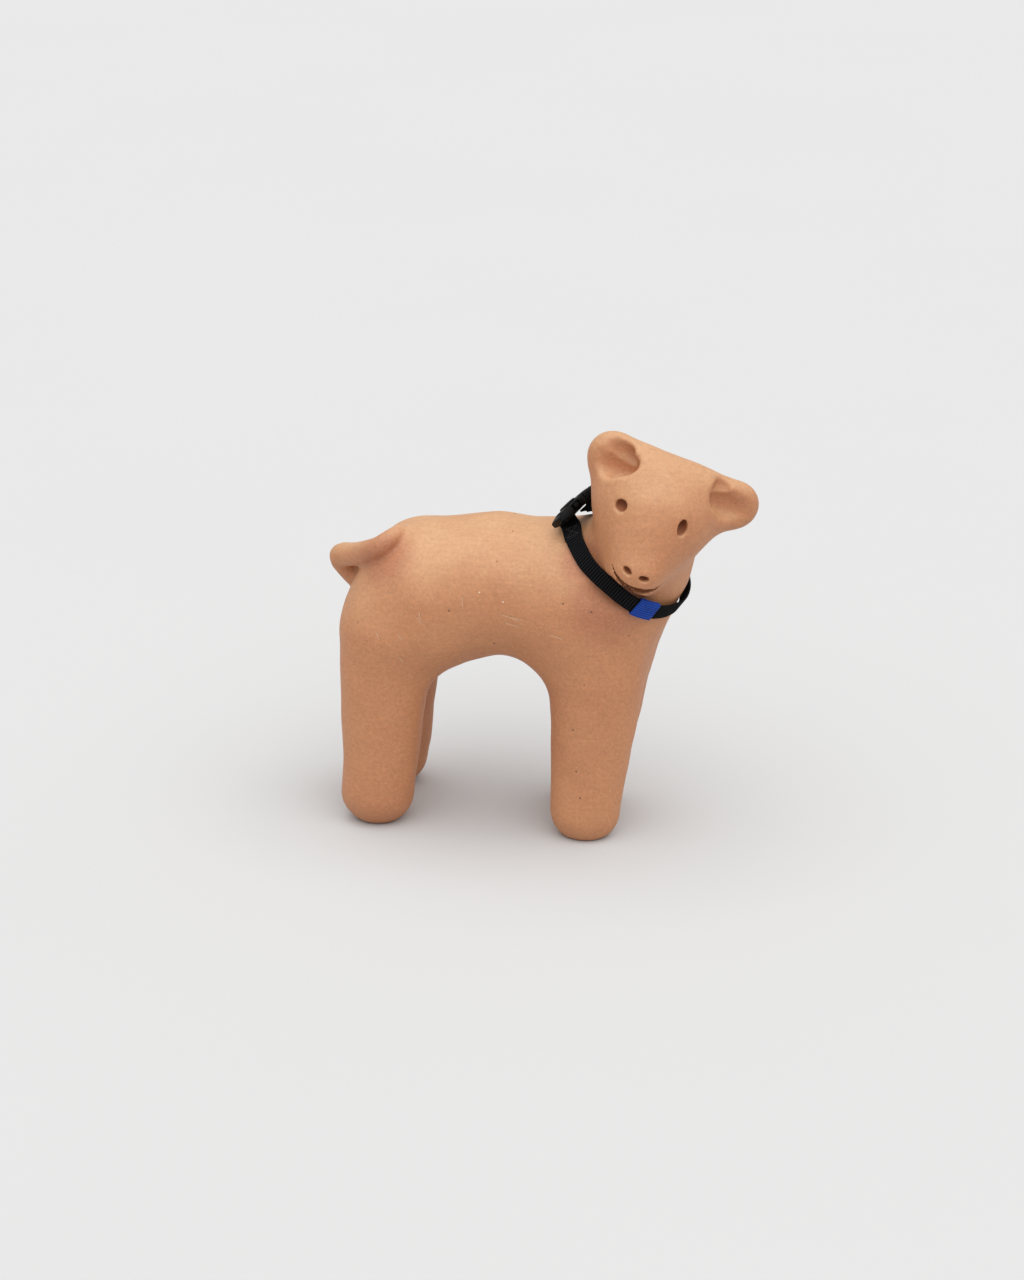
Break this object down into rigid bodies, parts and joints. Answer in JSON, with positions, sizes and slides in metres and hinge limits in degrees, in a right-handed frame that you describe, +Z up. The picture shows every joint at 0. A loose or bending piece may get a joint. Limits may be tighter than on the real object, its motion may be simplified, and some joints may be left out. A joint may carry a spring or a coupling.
{
  "type": "terracotta dog figure with webbing collar",
  "caption": "Hand-modelled terracotta dog in haniwa style, head turned and tilted, wearing a webbing collar with a side-release buckle and a plain ribbon tag.",
  "frame": {"origin": "bottom centre of the bounding box, on the ground under the dog", "axes": "+X along the body towards the chest and head, +Y towards the dog's left side, +Z up"},
  "size_m": [0.2399, 0.107, 0.2369],
  "materials": {
    "terracotta": "matte",
    "webbing": "matte",
    "buckle_plastic": "satin",
    "ribbon": "matte"
  },
  "bodies": {
    "root": {"clay_dog": "terracotta", "collar_strap": "webbing", "buckle_socket": "buckle_plastic", "buckle_plug": "buckle_plastic", "ribbon_tag": "ribbon"}
  },
  "joints": []
}
